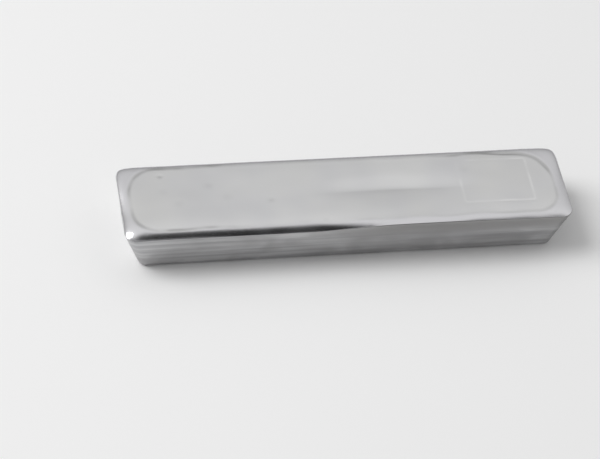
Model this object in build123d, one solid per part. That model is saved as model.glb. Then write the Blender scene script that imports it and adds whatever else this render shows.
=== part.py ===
from build123d import *

import os
from math import asin, degrees, radians, sqrt, tan

# A cast indium ingot of nominally half a kilogram, lying as it was cast: the wide
# open-mould face is up and the narrower foot is down. Millimetres and degrees.
# Origin at the middle of the foot, +X along the bar towards the stamped end, +Z up.

# Overall form, measured over the contact line, where the metal's surface met the mould
LENGTH = 148.0
WIDTH = 32.0
HEIGHT = 16.5
RIM_CORNER = 4.0

# Mould walls, leaning inwards from the contact line to the foot
SIDE_DRAFT = 8.0
END_DRAFT = 19.5
FOOT_CORNER = 3.0
FOOT_ROUND = 1.5

# Crown: surface tension pulled the open face down to the contact line in a curve, which
# meets the mould wall at an edge. The slope there is measured from the level
CROWN_DEPTH = 1.4
CONTACT_SLOPE = 56.0
CROWN_ROUND = 2.6

# Field: the face inside the freezing ring sank a little as the metal shrank. A narrow
# flat band is left between the ring and the crown's curve
FIELD_END_BAND = 1.1
FIELD_SIDE_BAND = 0.2
FIELD_CORNER = 10.0
FIELD_DEPTH = 0.15
FIELD_BANK_SLOPE = 65.0

# Frame of the punched mark, left bare inside
MARK_LENGTH = 23.5
MARK_END_GAP = 8.3
MARK_BACK_GAP = 2.8
MARK_FRONT_GAP = 5.4
MARK_CORNER = 0.8
MARK_LINE = 0.7
MARK_DEPTH = 0.25
MARK_LINE_DRAFT = 25.0

# Shrinkage trough, a shallow boat-shaped hollow that stops short of the mark
TROUGH_LENGTH = 54.0
TROUGH_WIDTH = 10.0
TROUGH_DEPTH = 0.25
TROUGH_MARK_GAP = 2.0

# Worked out
FOOT_LENGTH = LENGTH - 2 * (HEIGHT - CROWN_DEPTH) * tan(radians(END_DRAFT))
FOOT_WIDTH = WIDTH - 2 * (HEIGHT - CROWN_DEPTH) * tan(radians(SIDE_DRAFT))
CROWN_INSET = CROWN_DEPTH / tan(radians(CONTACT_SLOPE))
CROWN_REACH = CROWN_INSET + CROWN_ROUND * tan(radians(CONTACT_SLOPE / 2))
FIELD_LENGTH = LENGTH - 2 * (CROWN_REACH + FIELD_END_BAND)
FIELD_WIDTH = WIDTH - 2 * (CROWN_REACH + FIELD_SIDE_BAND)
FIELD_LEVEL = HEIGHT - FIELD_DEPTH
MARK_WIDTH = FIELD_WIDTH - MARK_BACK_GAP - MARK_FRONT_GAP
MARK_X = FIELD_LENGTH / 2 - MARK_END_GAP - MARK_LENGTH / 2
MARK_Y = (MARK_FRONT_GAP - MARK_BACK_GAP) / 2
TROUGH_X = MARK_X - MARK_LENGTH / 2 - TROUGH_MARK_GAP - TROUGH_LENGTH / 2


def arc_radius(chord, rise):
    """Radius of the arc that spans a chord and rises by the given height at its middle."""
    return (chord**2 / 4 + rise**2) / (2 * rise)


def cast_body():
    """The drafted bar and its crown: a ruled loft, with the crown's top and the foot rounded."""
    foot = RectangleRounded(FOOT_LENGTH, FOOT_WIDTH, FOOT_CORNER)
    contact = Pos(0, 0, HEIGHT - CROWN_DEPTH) * RectangleRounded(LENGTH, WIDTH, RIM_CORNER)
    crown = Pos(0, 0, HEIGHT) * RectangleRounded(
        LENGTH - 2 * CROWN_INSET, WIDTH - 2 * CROWN_INSET, RIM_CORNER - CROWN_INSET
    )
    bar = loft([foot, contact, crown], ruled=True)
    bar = fillet(bar.faces().sort_by(Axis.Z)[-1].edges(), CROWN_ROUND)
    return fillet(bar.faces().sort_by(Axis.Z)[0].edges(), FOOT_ROUND)


def sunken_field():
    """The pocket inside the freezing ring, with a soft sloping bank."""
    outline = RectangleRounded(FIELD_LENGTH, FIELD_WIDTH, FIELD_CORNER)
    return extrude(Pos(0, 0, HEIGHT) * outline, -FIELD_DEPTH, taper=FIELD_BANK_SLOPE)


def mark_frame():
    """The punched rectangular line, wider at its mouth than at its floor."""
    outer = RectangleRounded(MARK_LENGTH, MARK_WIDTH, MARK_CORNER)
    inner = RectangleRounded(MARK_LENGTH - 2 * MARK_LINE, MARK_WIDTH - 2 * MARK_LINE, MARK_CORNER / 2)
    place = Pos(MARK_X, MARK_Y, FIELD_LEVEL)
    return extrude(place * (outer - inner), -MARK_DEPTH, taper=MARK_LINE_DRAFT)


def shrinkage_trough():
    """A circular segment across the bar, swung about a far axis so that its ends run out."""
    across = arc_radius(TROUGH_WIDTH, TROUGH_DEPTH)
    along = arc_radius(TROUGH_LENGTH, TROUGH_DEPTH)
    lowest = FIELD_LEVEL - TROUGH_DEPTH
    lid = FIELD_LEVEL + TROUGH_DEPTH
    half = sqrt(across**2 - (across - (lid - lowest)) ** 2)
    bed = ThreePointArc((-half, lid), (0, lowest), (half, lid))
    segment = make_face([bed, Line((half, lid), (-half, lid))])
    swing_axis = Axis((TROUGH_X, 0, lowest + along), (0, 1, 0))
    swing = 2 * degrees(asin(TROUGH_LENGTH / 2 / along))
    hollow = revolve(Pos(TROUGH_X, 0, 0) * (Plane.YZ * segment), swing_axis, swing)
    return hollow.rotate(swing_axis, -swing / 2)


os.makedirs("parts", exist_ok=True)
ingot = cast_body() - sunken_field() - shrinkage_trough() - mark_frame()
export_step(ingot, "parts/ingot.step")
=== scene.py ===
from math import cos, log, pi, radians, sin, sqrt, tan

import bpy
import numpy as np
from mathutils import Matrix, Vector


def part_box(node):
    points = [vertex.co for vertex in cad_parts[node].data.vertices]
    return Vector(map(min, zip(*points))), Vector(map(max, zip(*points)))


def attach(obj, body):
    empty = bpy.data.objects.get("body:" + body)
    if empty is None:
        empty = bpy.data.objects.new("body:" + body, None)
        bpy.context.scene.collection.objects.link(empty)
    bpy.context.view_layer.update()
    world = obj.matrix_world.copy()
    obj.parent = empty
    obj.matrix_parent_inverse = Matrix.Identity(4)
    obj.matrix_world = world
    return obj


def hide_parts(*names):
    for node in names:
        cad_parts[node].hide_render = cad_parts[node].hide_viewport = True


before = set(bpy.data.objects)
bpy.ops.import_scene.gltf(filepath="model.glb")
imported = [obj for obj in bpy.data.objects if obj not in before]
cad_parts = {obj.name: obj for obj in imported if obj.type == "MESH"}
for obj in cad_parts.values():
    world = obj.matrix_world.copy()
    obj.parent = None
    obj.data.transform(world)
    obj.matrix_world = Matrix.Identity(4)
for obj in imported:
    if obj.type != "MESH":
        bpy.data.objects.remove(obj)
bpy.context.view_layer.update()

# A bright cast ingot lying on its foot, with its open-mould face up.
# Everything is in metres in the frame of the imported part: +X along the bar towards the
# stamped end, +Y across it to the far side, +Z up, and the floor at zero.
MM = 0.001

LOW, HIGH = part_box("ingot")
HALF_LENGTH = (HIGH.x - LOW.x) / 2
HALF_WIDTH = (HIGH.y - LOW.y) / 2
HEIGHT = HIGH.z - LOW.z

# Outline of the rim and the foot
SIDE_DRAFT = radians(8.0)
END_DRAFT = radians(19.5)
RIM_CORNER = 4.0 * MM
FOOT_CORNER = 3.0 * MM
FOOT_ROUND = 1.5 * MM

# Unevenness is given as (amount, wavelength, seed of its random waves). Each wave's length is
# the given one times a number drawn from a range
RIPPLE_WAVES = 14
RIPPLE_LENGTHS = (0.7, 1.5)

# Rim: the metal's surface curves down to the line where it touched the mould. The capillary
# length sets how far the curve reaches, and is longest along the front. The slope at the
# contact line is steep, but easy along the front's stamped half, as if the metal had wetted
# the mould there. It eases over one stretch of the bar, regains a share of the change over
# the next, and wanders by a share of itself
CAPILLARY_FRONT = 2.0 * MM
CAPILLARY_BACK = 1.0 * MM
FRONT_TO_BACK = (-6.0 * MM, 10.0 * MM)
CONTACT_STEEP = radians(56.0)
CONTACT_EASY = radians(14.0)
CONTACT_EASES = (-18.0 * MM, 18.0 * MM)
CONTACT_STEEPENS = (30.0 * MM, 72.0 * MM)
CONTACT_REGAIN = 0.3
CONTACT_WANDER = (0.03, 9.0 * MM, 21)
CONTACT_ROUND = 0.2 * MM
CORNER_SOFTNESS = RIM_CORNER * (1 - sqrt(0.5)) / log(2)

# The mould's walls are drawn from the imported part's contact line, at one depth all round.
# A strip of painted shade darkens the top of the wall along the front's stamped half, rising from
# none to full between two heights
CONTACT_DEPTH = 1.4 * MM
WALL_TOP_SHADE_HEIGHTS = (8.0 * MM, 13.5 * MM)

# The face's grid ends a little in from the rim, and its level is low enough for its swells
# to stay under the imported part's top
FACE_INSET = 2.0 * MM
FACE_DROP = 0.1 * MM

# Mesh lines: along, across and round each corner, then loops down from the face to the sole
LINES_ALONG = 372
LINES_ACROSS = 84
LINES_ROUND_CORNER = 8
MENISCUS_LOOPS = 14
CONTACT_LOOPS = 4
WALL_LOOPS = 18
FOOT_LOOPS = 7
SOLE_LOOPS = 4
SEAM_DECIMALS = 7

# Mesh lines crowd where the relief is fine: (width, strength), summed at fine samples
CROWD_SAMPLES = 6001
MARK_CROWD_ALONG = (0.9 * MM, 4.0)
MARK_CROWD_ACROSS = (0.8 * MM, 2.0)
RING_CROWD = (2.5 * MM, 1.2)
CREASE_CROWD = (0.8 * MM, 1.0)

# Freezing ring and the field that sank inside it. The ring shows by a strength at each corner,
# is faint along the sides and at the middle of the ends, and is patchy
RING_CENTRE = (-0.4 * MM, 0.5 * MM)
RING_HALF = (70.6 * MM, 13.5 * MM)
RING_CORNERS = {
    "left_front": 8.0 * MM,
    "left_back": 11.0 * MM,
    "right_front": 8.0 * MM,
    "right_back": 13.0 * MM,
}
RING_WANDER = (0.35 * MM, 17.0 * MM, 5)
RING_GROOVE = 0.050 * MM
RING_GROOVE_REACH = 0.62 * MM
RING_LIP = 0.020 * MM
RING_LIP_OFFSET = 1.3 * MM
RING_STRENGTH = {"left_front": 1.0, "left_back": 1.2, "right_front": 0.4, "right_back": 2.2}
RING_FRONT_TO_BACK = (-6.0 * MM, 6.0 * MM)
RING_FADES_AT = (28.0 * MM, 58.0 * MM)
RING_END_GAP = 7.0 * MM
RING_END_FADE = 0.85
RING_FAINTEST = 0.15
RING_PATCHES = (0.35, 8.0 * MM, 6)
RING_PATCH_MEAN = 0.9
RING_PATCH_RANGE = (0.3, 1.3)
FIELD_SINK = 0.06 * MM
FIELD_BANK = 1.8 * MM

# The band outside the ring starts over this stretch of distance from it
OUTER_BAND = (-0.8 * MM, 1.2 * MM)

# Shrinkage trough, with a crease where its two sides meet. The crease waves by
# (amount, run of one radian)
TROUGH_CENTRE = (16.0 * MM, 0.0 * MM)
TROUGH_HALF_LENGTH = 34.0 * MM
TROUGH_DEPTH = 0.60 * MM
TROUGH_NEAR_REACH = 4.6 * MM
TROUGH_FAR_REACH = 3.6 * MM
CREASE_SOFTNESS = 0.35 * MM
CREASE_WAVE = (0.35 * MM, 9.0 * MM)

# Frame of the stamp, bare inside. It was struck unevenly, and deeper at one corner
MARK_CENTRE = (50.7 * MM, 1.35 * MM)
MARK_HALF = (11.75 * MM, 9.45 * MM)
MARK_CORNER = 0.8 * MM
MARK_TURN = radians(-0.6)
MARK_TILT = 0.22
MARK_PATCHES = (0.4, 8.0 * MM, 8)
MARK_PATCH_MEAN = 0.6
MARK_PATCH_RANGE = (0.1, 1.2)
MARK_REACH = 0.48 * MM
MARK_DEPTH = 0.035 * MM

# Small blemishes of the face: (along, across, radius, depth), in millimetres
PITS = (
    (-59.9, 10.7, 0.8, 0.110),
    (-59.6, 4.1, 1.6, 0.030),
    (-55.1, -1.6, 1.5, 0.035),
    (-44.5, 5.8, 1.4, 0.045),
    (-39.1, 0.7, 1.7, 0.035),
    (-24.9, -2.1, 1.1, 0.060),
    (-8.5, -11.8, 0.9, 0.030),
    (41.5, 7.6, 1.5, 0.030),
)

# A pit this deep gets the full painted shade
PIT_FULL_SHADE_DEPTH = 0.30 * MM

# Beads of dross on the rim: (along, across, radius, height), in millimetres
BEADS = (
    (-35.6, -13.9, 0.9, 0.030),
    (-33.2, -13.7, 1.1, 0.035),
    (5.6, -14.0, 1.0, 0.035),
)

# Slow unevenness of the cast surfaces. The laps run level: they hardly change along the wall
FACE_SWELL = (0.055 * MM, 42.0 * MM, 11)
FACE_RIPPLE = (0.010 * MM, 10.0 * MM, 12)
WALL_SWELL = (0.050 * MM, 30.0 * MM, 31)
WALL_LAP = (0.030 * MM, 3.6 * MM, 32)
LAP_STRETCH = (0.06, 0.06, 1.0)


def spread(count, reach, crowds):
    """Values from -reach to reach, crowded near each centre.

    The density of lines is one plus a bell curve for each (centre, width, strength), and
    the values cut the area under it into equal parts.
    """
    fine = np.linspace(-reach, reach, CROWD_SAMPLES)
    density = np.ones_like(fine)
    for centre, width, strength in crowds:
        density += strength * np.exp(-(((fine - centre) / width) ** 2))
    area = np.concatenate([[0], np.cumsum((density[1:] + density[:-1]) / 2)])
    return np.interp(np.linspace(0, area[-1], count), area, fine)


def ripples(points, amount, wavelength, seed):
    """Smooth unevenness of about the amount either way: a sum of plane sine waves.

    Each wave runs in a random direction, with a random length and phase.
    """
    draw = np.random.default_rng(seed)
    size = points.shape[-1]
    total = np.zeros(points.shape[:-1])
    for _ in range(RIPPLE_WAVES):
        way = draw.normal(size=size)
        way *= 2 * pi / (np.linalg.norm(way) * draw.uniform(*RIPPLE_LENGTHS))
        total += np.sin(points / wavelength @ way + draw.uniform(0, 2 * pi))
    return amount * (total / np.sqrt(RIPPLE_WAVES))


def steps(count):
    """The shares of the way at the ends of equal steps, up to 1."""
    return np.linspace(0, 1, count + 1)[1:]


def smooth(value, start, end):
    """Rises from 0 at start to 1 at end along a cubic that is level at both."""
    share = np.clip((value - start) / (end - start), 0, 1)
    return share * share * (3 - 2 * share)


def bell(distance, reach):
    """The bell curve exp(-(distance / reach)^2)."""
    return np.exp(-((distance / reach) ** 2))


def outside_box(x, y, half, corner):
    """Signed distance to a rectangle about the origin whose corners have the given radius."""
    over_x = np.abs(x) - half[0] + corner
    over_y = np.abs(y) - half[1] + corner
    beyond = np.hypot(np.maximum(over_x, 0), np.maximum(over_y, 0))
    return beyond + np.minimum(np.maximum(over_x, over_y), 0) - corner


def ring_distance(x, y):
    """Signed distance to the freezing ring, a rectangle with a different radius at each corner."""
    x = x - RING_CENTRE[0]
    y = y - RING_CENTRE[1]
    left = np.where(y > 0, RING_CORNERS["left_back"], RING_CORNERS["left_front"])
    right = np.where(y > 0, RING_CORNERS["right_back"], RING_CORNERS["right_front"])
    wander = ripples(np.stack([x, y], -1), *RING_WANDER)
    return outside_box(x, y, RING_HALF, np.where(x < 0, left, right)) + wander


def ring_strength(x, y):
    """How strongly the freezing ring shows: patchy, clearest at its corners, faint between."""
    back = smooth(y, *RING_FRONT_TO_BACK)
    left = RING_STRENGTH["left_front"] * (1 - back) + RING_STRENGTH["left_back"] * back
    right = RING_STRENGTH["right_front"] * (1 - back) + RING_STRENGTH["right_back"] * back
    corners = smooth(np.abs(x), *RING_FADES_AT) * (1 - RING_END_FADE * bell(y, RING_END_GAP))
    patches = RING_PATCH_MEAN + ripples(np.stack([x, y], -1), *RING_PATCHES)
    patches = np.clip(patches, *RING_PATCH_RANGE)
    return patches * (RING_FAINTEST + corners * np.where(x < 0, left, right))


def pitted(x, y):
    """Depth of the small pits, each a bell."""
    depth = np.zeros_like(x)
    for pit_x, pit_y, radius, deep in PITS:
        depth += deep * MM * bell(np.hypot(x - pit_x * MM, y - pit_y * MM), radius * MM)
    return depth


def groove_shade_share(x, y):
    """Share of painted shade: along the ring's groove, and in the pits by their depth."""
    ring = ring_strength(x, y) * bell(ring_distance(x, y), RING_GROOVE_REACH)
    return np.clip(ring + pitted(x, y) / PIT_FULL_SHADE_DEPTH, 0, 1)


def stamp_line(x, y):
    """Depth of the stamp's frame as a share of the mark's depth: a bell across its line, patchy.

    The stamp was struck at a tilt, deeper towards the bar's end and its front.
    """
    tilt = (x - MARK_CENTRE[0]) / MARK_HALF[0] - (y - MARK_CENTRE[1]) / MARK_HALF[1]
    patchy = MARK_PATCH_MEAN + MARK_TILT * tilt + ripples(np.stack([x, y], -1), *MARK_PATCHES)
    return np.clip(patchy, *MARK_PATCH_RANGE) * bell(mark_distance(x, y), MARK_REACH)


def mark_distance(x, y):
    """Signed distance to the stamp's frame, a rectangle turned slightly on the bar."""
    x = x - MARK_CENTRE[0]
    y = y - MARK_CENTRE[1]
    along = x * cos(MARK_TURN) + y * sin(MARK_TURN)
    across = y * cos(MARK_TURN) - x * sin(MARK_TURN)
    return outside_box(along, across, MARK_HALF, MARK_CORNER)


def meniscus_run(slope):
    """Level run of a meniscus to a slope, over the capillary length, up to a constant.

    Surface tension against weight gives the run ln tan(slope / 4) + 2 cos(slope / 2) and the
    depth 2 sin(slope / 2).
    """
    return np.log(np.tan(slope / 4)) + 2 * np.cos(slope / 2)


# Slopes that the meniscus is worked out for, to be read between
FLATTEST = radians(0.001)
STEEPEST = radians(80)
SLOPE_SAMPLES = 4000
SLOPES = np.geomspace(FLATTEST, STEEPEST, SLOPE_SAMPLES)


def meniscus_slope(inset, capillary, contact):
    """Slope of the meniscus at a distance in from the contact line, for the slope at that line."""
    run = meniscus_run(contact) - inset / capillary
    return np.interp(run, meniscus_run(SLOPES), SLOPES)


def meniscus_depth(slope, capillary):
    """Depth of the meniscus below the level face where it has the given slope."""
    return 2 * capillary * np.sin(slope / 2)


def crown_inset(x, y):
    """Distance in from the contact line that rounds the corners: a soft minimum over end and side.

    The soft minimum of two distances is -s ln(exp(-a / s) + exp(-b / s)). The softness makes it
    zero at the middle of the outline's corner.
    """
    from_end = np.exp((np.abs(x) - HALF_LENGTH) / CORNER_SOFTNESS)
    from_side = np.exp((np.abs(y) - HALF_WIDTH) / CORNER_SOFTNESS)
    return -CORNER_SOFTNESS * np.log(from_end + from_side)


def crown_drop(x, y):
    """How far the meniscus lies below the level face at a point."""
    capillary = capillary_length(y)
    slope = meniscus_slope(crown_inset(x, y), capillary, contact_slope(x, y))
    return meniscus_depth(slope, capillary)


def capillary_length(y):
    """Capillary length: a smooth rise across the face from the back's value to the front's."""
    return CAPILLARY_FRONT + (CAPILLARY_BACK - CAPILLARY_FRONT) * smooth(y, *FRONT_TO_BACK)


def wetted(x, y):
    """How well the metal wetted the mould nearby: 1 along the front's stamped half, 0 elsewhere."""
    return (1 - smooth(y, *FRONT_TO_BACK)) * smooth(x, *CONTACT_EASES)


def contact_slope(x, y):
    """Slope at the nearest contact line: steep, and easy where the metal wetted the mould."""
    easy = wetted(x, y) * (1 - CONTACT_REGAIN * smooth(x, *CONTACT_STEEPENS))
    slope = CONTACT_STEEP + (CONTACT_EASY - CONTACT_STEEP) * easy
    return slope * (1 + ripples(np.stack([x, y], -1), *CONTACT_WANDER))


def trough(x, y):
    """Depth of the shrinkage trough, from 0 to 1.

    Along the bar it is (1 - t^2)^2, which runs out level. Across it falls away from the crease
    as an exponential on the near side and as a bell on the far side.
    """
    along = np.clip(1 - ((x - TROUGH_CENTRE[0]) / TROUGH_HALF_LENGTH) ** 2, 0, 1) ** 2
    across = y - TROUGH_CENTRE[1] - CREASE_WAVE[0] * np.sin(x / CREASE_WAVE[1])
    away = np.hypot(across, CREASE_SOFTNESS) - CREASE_SOFTNESS
    near = np.exp(-away / TROUGH_NEAR_REACH)
    return along * np.where(across < 0, near, bell(away, TROUGH_FAR_REACH))


def face_relief(x, y):
    """Height of the open-mould face over its level plane, apart from the meniscus.

    It is the sum of the sunken field, the ring's groove with a low lip outside it, the
    trough, the stamped line, the pits, the beads and the slow swell.
    """
    flat = np.stack([x, y], -1)
    ring = ring_distance(x, y)
    height = -FIELD_SINK * smooth(-ring, -FIELD_BANK / 2, FIELD_BANK)
    lip = bell(ring - RING_LIP_OFFSET, RING_GROOVE_REACH)
    height += ring_strength(x, y) * (RING_LIP * lip - RING_GROOVE * bell(ring, RING_GROOVE_REACH))
    height -= TROUGH_DEPTH * trough(x, y) + MARK_DEPTH * stamp_line(x, y) + pitted(x, y)
    for bead_x, bead_y, radius, rise in BEADS:
        height += rise * MM * bell(np.hypot(x - bead_x * MM, y - bead_y * MM), radius * MM)
    return height + ripples(flat, *FACE_SWELL) + ripples(flat, *FACE_RIPPLE)


def mesh_lines(reach, count, crowds):
    """One family of mesh lines: where each sits on the straight part, and its share of the corner.

    Corner shares are root two times the sine of equal angles up to 45 degrees, so that the
    lines cut a corner's arc into equal steps.
    """
    straight = spread(count, reach, crowds)
    corner = np.sqrt(2) * np.sin(np.linspace(0, pi / 4, LINES_ROUND_CORNER + 1)[1:])
    ends = np.ones(LINES_ROUND_CORNER)
    place = np.concatenate([-ends * reach, straight, ends * reach])
    share = np.concatenate([-corner[::-1], np.zeros(count), corner])
    return place, share


def crowded_pair(centre, half, crowd):
    """Where mesh lines crowd at the two sides of a rectangle."""
    return [(centre - half, *crowd), (centre + half, *crowd)]


def face_grid():
    """The grid over the open-mould face: each point's place on the straight part, and its bend.

    A bend is the way to go from there into the corner, of unit length on the border. The square
    corner (u, v) bends into a round one as u sqrt(1 - v^2 / 2) and v sqrt(1 - u^2 / 2).
    """
    mark_along = crowded_pair(MARK_CENTRE[0], MARK_HALF[0], MARK_CROWD_ALONG)
    mark_across = crowded_pair(MARK_CENTRE[1], MARK_HALF[1], MARK_CROWD_ACROSS)
    ring_ends = crowded_pair(RING_CENTRE[0], RING_HALF[0], RING_CROWD)
    crease = [(TROUGH_CENTRE[1], *CREASE_CROWD)]
    along = mesh_lines(HALF_LENGTH - RIM_CORNER, LINES_ALONG, mark_along + ring_ends)
    across = mesh_lines(HALF_WIDTH - RIM_CORNER, LINES_ACROSS, mark_across + crease)
    place_x, place_y = np.meshgrid(along[0], across[0])
    share_x, share_y = np.meshgrid(along[1], across[1])
    bend_x = share_x * np.sqrt(1 - share_y**2 / 2)
    bend_y = share_y * np.sqrt(1 - share_x**2 / 2)
    return place_x, place_y, bend_x, bend_y


def walk_round(grid):
    """The border of a 2D array as one line, counterclockwise from its first corner."""
    return np.concatenate([grid[0, :], grid[1:, -1], grid[-1, -2::-1], grid[-2:0:-1, 0]])


def loop_faces(upper, lower):
    """Quads between two closed loops of vertex numbers, the lower one below or further in."""
    return np.stack([upper, lower, np.roll(lower, -1), np.roll(upper, -1)], -1)


def cast_surface():
    """Points, faces, triangles and face share of the whole closed skin.

    The face is a grid whose border follows the rim a little way in. From there loops run
    down over the meniscus, the edge where it touched the mould, the straight drafted wall,
    the foot's arc, and the sole, which narrows to a line along its middle. The face share is
    1 on the open-mould face and 0 on what the mould shaped.
    """
    place_x, place_y, bend_x, bend_y = face_grid()
    x = place_x + (RIM_CORNER - FACE_INSET) * bend_x
    y = place_y + (RIM_CORNER - FACE_INSET) * bend_y
    relief = face_relief(x, y)
    face = np.stack([x, y, HEIGHT - FACE_DROP + relief - crown_drop(x, y)], -1)

    numbers = np.arange(x.size).reshape(x.shape)
    cells = [numbers[:-1, :-1], numbers[:-1, 1:], numbers[1:, 1:], numbers[1:, :-1]]
    quads = [np.stack(cells, -1).reshape(-1, 4)]
    straight = np.stack([walk_round(place_x), walk_round(place_y)], -1)
    way = np.stack([walk_round(bend_x), walk_round(bend_y)], -1)
    way /= np.linalg.norm(way, axis=1, keepdims=True)

    contact = walk_round(contact_slope(x, y))
    rim = rim_loops(straight, way, walk_round(capillary_length(y)), contact, walk_round(relief))
    wall = wall_loops(straight, way, contact, rim[-1][:, 2])
    points = [face.reshape(-1, 3)]
    upper = walk_round(numbers)
    first = x.size
    for loop in rim + wall:
        lower = first + np.arange(len(loop))
        quads.append(loop_faces(upper, lower))
        points.append(loop)
        upper = lower
        first += len(loop)
    seam, seam_points = sole_seam(wall[-1])
    points.append(seam_points)
    closing = loop_faces(upper, first + seam)
    folded = closing[:, 1] == closing[:, 2]
    quads.append(closing[~folded])

    points = np.concatenate(points)
    open_count = x.size + (MENISCUS_LOOPS - 1) * len(contact)
    face_share = (np.arange(len(points)) < open_count).astype(float)
    return points, np.concatenate(quads), closing[folded][:, [0, 1, 3]], face_share


def rim_loops(straight, way, capillary, contact, relief):
    """Loops over the meniscus, from the grid's border to where it touched the mould.

    A point is the straight part's place, plus a reach along its outward way, at a height. The
    slope grows by equal steps, and the face's relief fades out on the way. The last loop ends
    where the small arc of the contact edge starts.
    """
    first = meniscus_slope(FACE_INSET, capillary, contact)
    loops = []
    for share in steps(MENISCUS_LOOPS):
        slope = first + share * (contact - first)
        inset = capillary * (meniscus_run(contact) - meniscus_run(slope))
        inset += share * CONTACT_ROUND * (1 - np.sin(contact))
        place = straight + (RIM_CORNER - inset)[:, None] * way
        z = HEIGHT - FACE_DROP - crown_drop(place[:, 0], place[:, 1]) + relief * (1 - share**2)
        loops.append(np.column_stack([place, z]))
    return loops


def foot_centres(straight, way):
    """Centres of the foot's arc round the bar.

    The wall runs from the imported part's contact line to the floor at the mould's draft. A
    centre lies in from the wall's foot by the radius times (1 / cos(draft) - tan(draft)).
    """
    foot_reach = []
    for half, draft in ((HALF_LENGTH, END_DRAFT), (HALF_WIDTH, SIDE_DRAFT)):
        foot = half - (HEIGHT - CONTACT_DEPTH) * tan(draft)
        foot_reach.append(foot - FOOT_ROUND * (1 / cos(draft) - tan(draft)))
    foot_corner = FOOT_CORNER - FOOT_ROUND
    stretch = np.array(foot_reach) - foot_corner
    stretch /= np.array([HALF_LENGTH - RIM_CORNER, HALF_WIDTH - RIM_CORNER])
    return straight * stretch + foot_corner * way


def wall_loops(straight, way, contact, contact_z):
    """Loops from the contact edge down to the sole.

    The edge is a small arc. The wall is the common tangent of that arc and the foot's arc, so
    it meets both smoothly, and it leans by about the mould's draft. Its unevenness is full
    halfway down and none at both ends: 4 s (1 - s).
    """
    edge_core = straight + (RIM_CORNER - CONTACT_ROUND) * way
    foot_core = foot_centres(straight, way)
    edge_z = contact_z - CONTACT_ROUND * np.cos(contact)
    inset = ((edge_core - foot_core) * way).sum(1)
    fall = edge_z - FOOT_ROUND
    lean = np.arcsin((FOOT_ROUND - CONTACT_ROUND) / np.hypot(inset, fall))
    draft = np.arctan2(inset, fall) - lean

    def foot_loop(angle):
        """The loop on the foot's arc where the skin leans in by an angle from upright."""
        reach = FOOT_ROUND * np.cos(angle)
        z = FOOT_ROUND * (1 - np.sin(angle))
        return np.column_stack([foot_core + reach[:, None] * way, z])

    loops = []
    for share in steps(CONTACT_LOOPS):
        tilt = contact + share * (pi / 2 + draft - contact)
        reach = CONTACT_ROUND * np.sin(tilt)
        z = edge_z + CONTACT_ROUND * np.cos(tilt)
        loops.append(np.column_stack([edge_core + reach[:, None] * way, z]))

    top = loops[-1]
    low = foot_loop(draft)
    for share in steps(WALL_LOOPS):
        loops.append(uneven_wall(top + share * (low - top), way, 4 * share * (1 - share)))
    for share in steps(FOOT_LOOPS):
        loops.append(foot_loop(draft + share * (pi / 2 - draft)))

    sole = loops[-1]
    for share in np.arange(1, SOLE_LOOPS + 1) / (SOLE_LOOPS + 1):
        loops.append(narrowed(sole, share))
    return loops


def uneven_wall(loop, way, share):
    """The wall pushed in and out along its outward way: a slow swell, and laps that run level."""
    swell = ripples(loop, *WALL_SWELL)
    laps = ripples(loop * np.array(LAP_STRETCH), *WALL_LAP)
    push = share * (swell + laps)
    return np.column_stack([loop[:, :2] + push[:, None] * way, loop[:, 2]])


def narrowed(sole, share):
    """The sole's outline drawn in towards the middle line by a share of the way."""
    half = np.abs(sole[:, :2]).max(0)
    keep = np.array([1 - share * half[1] / half[0], 1 - share, 1])
    return sole * keep


def sole_seam(loop):
    """The line that closes the sole, and each loop point's vertex on it.

    All points of the loop at one place along the bar share a vertex.
    """
    line = narrowed(loop, 1.0)
    kept, seam = np.unique(np.round(line[:, 0], SEAM_DECIMALS), return_inverse=True)
    points = np.column_stack([kept, np.zeros_like(kept), np.full_like(kept, line[0, 2])])
    return seam.reshape(-1), points


def vertex_value(mesh, name, values):
    """Stores one number for each vertex, for the metal's finish to read."""
    store = mesh.attributes.new(name, "FLOAT", "POINT")
    store.data.foreach_set("value", values.astype(np.float32))


def make_ingot(metal):
    """One closed mesh for the whole casting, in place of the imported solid."""
    points, quads, triangles, face_share = cast_surface()
    mesh = bpy.data.meshes.new("cast_ingot")
    mesh.from_pydata(points.tolist(), [], quads.tolist() + triangles.tolist())
    mesh.shade_smooth()
    x, y = points[:, 0], points[:, 1]
    # Painted shade: the top of the wall is darkened along the front's stamped half.
    strip = wetted(x, y) * smooth(points[:, 2], *WALL_TOP_SHADE_HEIGHTS)
    vertex_value(mesh, "open_face", face_share)
    vertex_value(mesh, "wall_top_shade", (1 - face_share) * strip)
    # Painted shade in the ring's groove and in the pits, darker in deeper pits
    vertex_value(mesh, "groove_and_pit_shade", face_share * groove_shade_share(x, y))
    # Painted highlight along the stamp's frame, lighter where the line is deeper
    vertex_value(mesh, "stamp_line_highlight", face_share * stamp_line(x, y))
    vertex_value(mesh, "outer_band", face_share * smooth(ring_distance(x, y), *OUTER_BAND))
    mesh.materials.append(metal)
    ingot = bpy.data.objects.new("cast_ingot", mesh)
    bpy.context.scene.collection.objects.link(ingot)
    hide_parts("ingot")
    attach(ingot, "root")


# Metal. Pattern scales and stretches are cells a metre. A rise is the stretch of a pattern's
# values over which its effect grows from none to full
METAL_CLEAR = (0.80, 0.80, 0.80, 1)
METAL_CLOUDED = (0.76, 0.76, 0.775, 1)
METAL_WARM = (0.79, 0.785, 0.765, 1)
# The walls' colours are darker than the face's partly as painted shade, standing in for dark
# surroundings that the walls mirror; their streaks and stains also vary at random.
WALL_CLEAR_SHADED = (0.60, 0.60, 0.605, 1)
WALL_DULL_SHADED = (0.45, 0.45, 0.46, 1)
WALL_STAIN_AND_SHADE = (0.34, 0.335, 0.34, 1)
# Painted shade for the top of the wall along the front's stamped half
WALL_TOP_SHADE_COLOUR = (0.34, 0.335, 0.335, 1)
# Painted shade for the ring's groove and the pits
GROOVE_SHADE_COLOUR = (0.58, 0.58, 0.58, 1)
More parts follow.
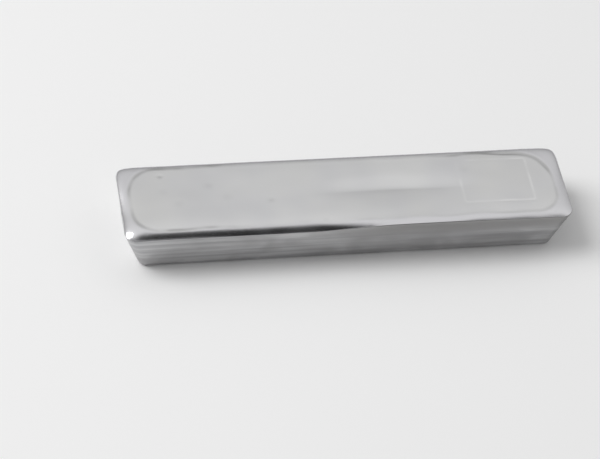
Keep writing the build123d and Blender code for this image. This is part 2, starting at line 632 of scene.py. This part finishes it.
# Painted highlight for the stamp's frame line
STAMP_HIGHLIGHT_COLOUR = (0.86, 0.86, 0.86, 1)
BAND_COLOUR = (0.79, 0.785, 0.815, 1)
CLOUD_SCALE = 55
CLOUD_DETAIL = 1
TINT_SCALE = 38
TINT_DETAIL = 1
GRAIN_SCALE = 1100
GRAIN_DETAIL = 3
STREAK_STRETCH = (15, 15, 600)
STREAK_DETAIL = 3
STREAK_WARP = 0.3
PATCH_STRETCH = (60, 60, 110)
PATCH_DETAIL = 2
PATCH_WARP = 0.5
CLOUD_RISE = (0.25, 0.75)
TINT_RISE = (0.45, 0.80)
STREAK_RISE = (0.40, 0.62)
PATCH_RISE = (0.30, 0.72)
ROUGH_RISE = (0.30, 0.70)
STAIN_AND_SHADE_SHARE = 0.6
WARM_SHARE = 0.4
BAND_SHARE = 0.7
FACE_ROUGHNESS = (0.18, 0.24)
WALL_ROUGHNESS = (0.29, 0.42)
GRAIN_HEIGHT = 0.012 * MM
STREAK_HEIGHT = 0.05 * MM


class Finish:
    """A node material under construction: short helpers that add a node and wire it up."""

    def __init__(self, name):
        self.paint = bpy.data.materials.new(name)
        self.paint.use_nodes = True
        self.nodes = self.paint.node_tree.nodes
        self.shader = self.nodes["Principled BSDF"]
        self.place = self.nodes.new("ShaderNodeTexCoord").outputs["Object"]

    def wire(self, source, socket):
        """Feeds a socket from an output, or sets it to a plain value."""
        if isinstance(source, bpy.types.NodeSocket):
            self.paint.node_tree.links.new(source, socket)
        else:
            socket.default_value = source

    def stored(self, name):
        """The number that the mesh stores under a name."""
        node = self.nodes.new("ShaderNodeAttribute")
        node.attribute_name = name
        return node.outputs["Fac"]

    def stretched(self, factors):
        """Object coordinates multiplied axis by axis."""
        node = self.nodes.new("ShaderNodeVectorMath")
        node.operation = "MULTIPLY"
        self.wire(self.place, node.inputs[0])
        node.inputs[1].default_value = factors
        return node.outputs["Vector"]

    def noise(self, detail, scale=1.0, where=None, warp=0.0):
        """Fractal noise from 0 to 1."""
        node = self.nodes.new("ShaderNodeTexNoise")
        node.inputs["Scale"].default_value = scale
        node.inputs["Detail"].default_value = detail
        node.inputs["Distortion"].default_value = warp
        self.wire(where or self.place, node.inputs["Vector"])
        return node.outputs["Fac"]

    def ramp(self, value, start, end, low=0.0, high=1.0):
        """A smooth rise from low at start to high at end."""
        node = self.nodes.new("ShaderNodeMapRange")
        node.interpolation_type = "SMOOTHSTEP"
        self.wire(value, node.inputs["Value"])
        node.inputs["From Min"].default_value = start
        node.inputs["From Max"].default_value = end
        node.inputs["To Min"].default_value = low
        node.inputs["To Max"].default_value = high
        return node.outputs["Result"]

    def math(self, operation, first, second):
        """One arithmetic step."""
        node = self.nodes.new("ShaderNodeMath")
        node.operation = operation
        self.wire(first, node.inputs[0])
        self.wire(second, node.inputs[1])
        return node.outputs["Value"]

    def blend(self, share, first, second):
        """A colour between two colours. The node's sockets share names, so they go by place."""
        node = self.nodes.new("ShaderNodeMix")
        node.data_type = "RGBA"
        self.wire(share, node.inputs["Factor"])
        self.wire(first, node.inputs[6])
        self.wire(second, node.inputs[7])
        return node.outputs[2]

    def between(self, share, first, second):
        """A number between two numbers. The node's sockets share names, so they go by place."""
        node = self.nodes.new("ShaderNodeMix")
        self.wire(share, node.inputs["Factor"])
        self.wire(first, node.inputs[2])
        self.wire(second, node.inputs[3])
        return node.outputs[0]

    def relief(self, height, distance, under=None):
        """A bump of the given height in metres, on top of another bump."""
        node = self.nodes.new("ShaderNodeBump")
        node.inputs["Distance"].default_value = distance
        self.wire(height, node.inputs["Height"])
        if under is not None:
            self.wire(under, node.inputs["Normal"])
        return node.outputs["Normal"]


def cast_metal():
    """Bright as-cast metal: a cloudy glossy face, painted shade along the ring line and in the
    pits, a painted highlight along the stamp's frame, and streaked, stained walls darkened partly
    by painted shade.
    """
    finish = Finish("cast_metal")
    open_face = finish.stored("open_face")
    clouds = finish.ramp(finish.noise(CLOUD_DETAIL, CLOUD_SCALE), *CLOUD_RISE)
    tint = finish.ramp(finish.noise(TINT_DETAIL, TINT_SCALE), *TINT_RISE)
    grain = finish.noise(GRAIN_DETAIL, GRAIN_SCALE)
    level = finish.stretched(STREAK_STRETCH)
    streaks = finish.noise(STREAK_DETAIL, where=level, warp=STREAK_WARP)

    face = finish.blend(clouds, METAL_CLEAR, METAL_CLOUDED)
    face = finish.blend(finish.math("MULTIPLY", tint, WARM_SHARE), face, METAL_WARM)
    band = finish.math("MULTIPLY", finish.stored("outer_band"), BAND_SHARE)
    face = finish.blend(band, face, BAND_COLOUR)
    # Painted shade along the ring's groove and in the pits
    face = finish.blend(finish.stored("groove_and_pit_shade"), face, GROOVE_SHADE_COLOUR)
    # Painted highlight along the stamp's frame
    face = finish.blend(finish.stored("stamp_line_highlight"), face, STAMP_HIGHLIGHT_COLOUR)
    # Painted shade: the walls' streaked and stained colours sit darker than the face, partly
    # standing in for mirrored dark surroundings.
    wall = finish.blend(finish.ramp(streaks, *STREAK_RISE), WALL_DULL_SHADED, WALL_CLEAR_SHADED)
    blotched = finish.stretched(PATCH_STRETCH)
    patches = finish.noise(PATCH_DETAIL, where=blotched, warp=PATCH_WARP)
    stain_and_shade = finish.ramp(patches, *PATCH_RISE, high=STAIN_AND_SHADE_SHARE)
    wall = finish.blend(stain_and_shade, wall, WALL_STAIN_AND_SHADE)
    # Painted shade on the top of the front wall's stamped half
    wall = finish.blend(finish.stored("wall_top_shade"), wall, WALL_TOP_SHADE_COLOUR)
    finish.wire(finish.blend(open_face, wall, face), finish.shader.inputs["Base Color"])

    face_rough = finish.ramp(clouds, 0, 1, *FACE_ROUGHNESS)
    wall_rough = finish.ramp(streaks, *ROUGH_RISE, *WALL_ROUGHNESS)
    rough = finish.between(open_face, wall_rough, face_rough)
    finish.wire(rough, finish.shader.inputs["Roughness"])

    fine = finish.relief(grain, GRAIN_HEIGHT)
    off_face = finish.math("SUBTRACT", 1.0, open_face)
    scored = finish.math("MULTIPLY", streaks, off_face)
    finish.wire(finish.relief(scored, STREAK_HEIGHT, under=fine), finish.shader.inputs["Normal"])
    finish.shader.inputs["Metallic"].default_value = 1
    return finish.paint


# Studio. Places on the dome are directions of about unit length
WHITE = (1, 1, 1, 1)
FLOOR_HALF = 4.0
FLOOR_COLOUR = (0.90, 0.90, 0.90, 1)
FLOOR_ROUGHNESS = 0.9
FLOOR_LIFT = 0.04
DOME_DIM = 0.33
LOBE_PLACE = (-0.065, 0.369, 0.927)
LOBE_STRETCH = (0.4, 1.0, 1.0)
LOBE_REACH = (0.10, 1.10)
LOBE_BRIGHT = 0.76
FLAG_PLACE = (0.19, -0.43, 0.88)
FLAG_STRETCH = (2.4, 1.0, 1.0)
FLAG_REACH = (0.38, 0.85)
FLAG_OPEN = 0.03
KEY_PLACE = (-1.32, 0.36, 1.46)
KEY_SIZE = (1.0, 1.5)
KEY_BRIGHTNESS = 5.3


def flat_sheet(name, size, paint):
    """A flat rectangle about the origin, facing up."""
    half_x, half_y = size[0] / 2, size[1] / 2
    corners = [(-half_x, -half_y), (half_x, -half_y), (half_x, half_y), (-half_x, half_y)]
    corners = [corner + (0,) for corner in corners]
    mesh = bpy.data.meshes.new(name)
    mesh.from_pydata(corners, [], [(0, 1, 2, 3)])
    mesh.materials.append(paint)
    sheet = bpy.data.objects.new(name, mesh)
    bpy.context.scene.collection.objects.link(sheet)


def floor_paint():
    """Matt pale paint, with a little lift for what the camera and the metal see."""
    finish = Finish("floor_paint")
    finish.shader.inputs["Base Color"].default_value = FLOOR_COLOUR
    finish.shader.inputs["Roughness"].default_value = FLOOR_ROUGHNESS
    finish.shader.inputs["Specular IOR Level"].default_value = 0.0
    path = finish.nodes.new("ShaderNodeLightPath")
    seen = finish.math("ADD", path.outputs["Is Camera Ray"], path.outputs["Is Glossy Ray"])
    seen = finish.math("ADD", seen, path.outputs["Is Transmission Ray"])
    lift = finish.math("MULTIPLY", seen, FLOOR_LIFT)
    finish.wire(lift, finish.shader.inputs["Emission Strength"])
    finish.shader.inputs["Emission Color"].default_value = WHITE
    return finish.paint


def facing(place, target):
    """A matrix that puts something at place with its -Z axis towards target."""
    turn = (Vector(target) - Vector(place)).to_track_quat("-Z", "Y")
    return Matrix.Translation(place) @ turn.to_matrix().to_4x4()


def softbox(name, place, size, brightness):
    """A rectangular area lamp that faces the ingot. Its power is pi times brightness and area."""
    lamp = bpy.data.lights.new(name, "AREA")
    lamp.shape = "RECTANGLE"
    lamp.size, lamp.size_y = size
    lamp.energy = brightness * pi * size[0] * size[1]
    box = bpy.data.objects.new(name, lamp)
    box.matrix_world = facing(place, (0, 0, 0))
    bpy.context.scene.collection.objects.link(box)


def dome():
    """A pale dome: brightest above and behind the ingot, with a dark flag above the camera.

    Each of the two is a patch of sky whose level changes smoothly with the distance from its
    place, measured between unit directions and stretched along X.
    """
    world = bpy.data.worlds.new("dome")
    world.use_nodes = True
    nodes, links = world.node_tree.nodes, world.node_tree.links
    way = nodes.new("ShaderNodeTexCoord").outputs["Generated"]

    def vector_step(operation, first, second):
        """One vector step. The second operand is a plain vector."""
        node = nodes.new("ShaderNodeVectorMath")
        node.operation = operation
        links.new(first, node.inputs[0])
        node.inputs[1].default_value = second
        return node.outputs

    def sky_patch(place, stretch, reach, inside, outside):
        """A level that is inside's near the place and outside's beyond the reach."""
        away = vector_step("SUBTRACT", way, place)["Vector"]
        away = vector_step("MULTIPLY", away, stretch)["Vector"]
        distance = vector_step("LENGTH", away, (0, 0, 0))["Value"]
        node = nodes.new("ShaderNodeMapRange")
        node.interpolation_type = "SMOOTHSTEP"
        links.new(distance, node.inputs["Value"])
        node.inputs["From Min"].default_value = reach[0]
        node.inputs["From Max"].default_value = reach[1]
        node.inputs["To Min"].default_value = inside
        node.inputs["To Max"].default_value = outside
        return node.outputs["Result"]

    strength = nodes.new("ShaderNodeMath")
    strength.operation = "MULTIPLY"
    lobe = sky_patch(LOBE_PLACE, LOBE_STRETCH, LOBE_REACH, LOBE_BRIGHT, DOME_DIM)
    flag = sky_patch(FLAG_PLACE, FLAG_STRETCH, FLAG_REACH, FLAG_OPEN, 1.0)
    links.new(lobe, strength.inputs[0])
    links.new(flag, strength.inputs[1])
    links.new(strength.outputs["Value"], nodes["Background"].inputs["Strength"])
    nodes["Background"].inputs["Color"].default_value = WHITE
    bpy.context.scene.world = world


# Camera, at the photograph's viewing angle. The picture is taken as 600 by 459 pixels
PICTURE_WIDTH = 600
FOCAL_PIXELS = 2700
SENSOR = 36.0
CLIP_RANGE = (0.01, 20)
CAMERA_PLACE = (-173.3 * MM, -594.1 * MM, 644.6 * MM)
CAMERA_YAW = radians(-15.06)
CAMERA_PITCH = radians(46.39)
CAMERA_ROLL = radians(-7.98)


def camera():
    """The camera: yaw about the vertical, pitch down from level, and roll about its own axis."""
    lens = bpy.data.cameras.new("camera")
    lens.sensor_width = SENSOR
    lens.lens = FOCAL_PIXELS * SENSOR / PICTURE_WIDTH
    lens.clip_start, lens.clip_end = CLIP_RANGE
    level = cos(CAMERA_PITCH)
    back = Vector((sin(CAMERA_YAW) * level, -cos(CAMERA_YAW) * level, sin(CAMERA_PITCH)))
    right = Vector((0, 0, 1)).cross(back).normalized()
    up = back.cross(right)
    turned_right = cos(CAMERA_ROLL) * right - sin(CAMERA_ROLL) * up
    turned_up = sin(CAMERA_ROLL) * right + cos(CAMERA_ROLL) * up
    turn = Matrix((turned_right, turned_up, back)).transposed().to_4x4()
    eye = bpy.data.objects.new("camera", lens)
    eye.matrix_world = Matrix.Translation(CAMERA_PLACE) @ turn
    bpy.context.scene.collection.objects.link(eye)
    bpy.context.scene.camera = eye


make_ingot(cast_metal())
flat_sheet("floor", (2 * FLOOR_HALF, 2 * FLOOR_HALF), floor_paint())
dome()
softbox("key_softbox", KEY_PLACE, KEY_SIZE, KEY_BRIGHTNESS)
camera()
bpy.context.scene.view_settings.view_transform = "Standard"
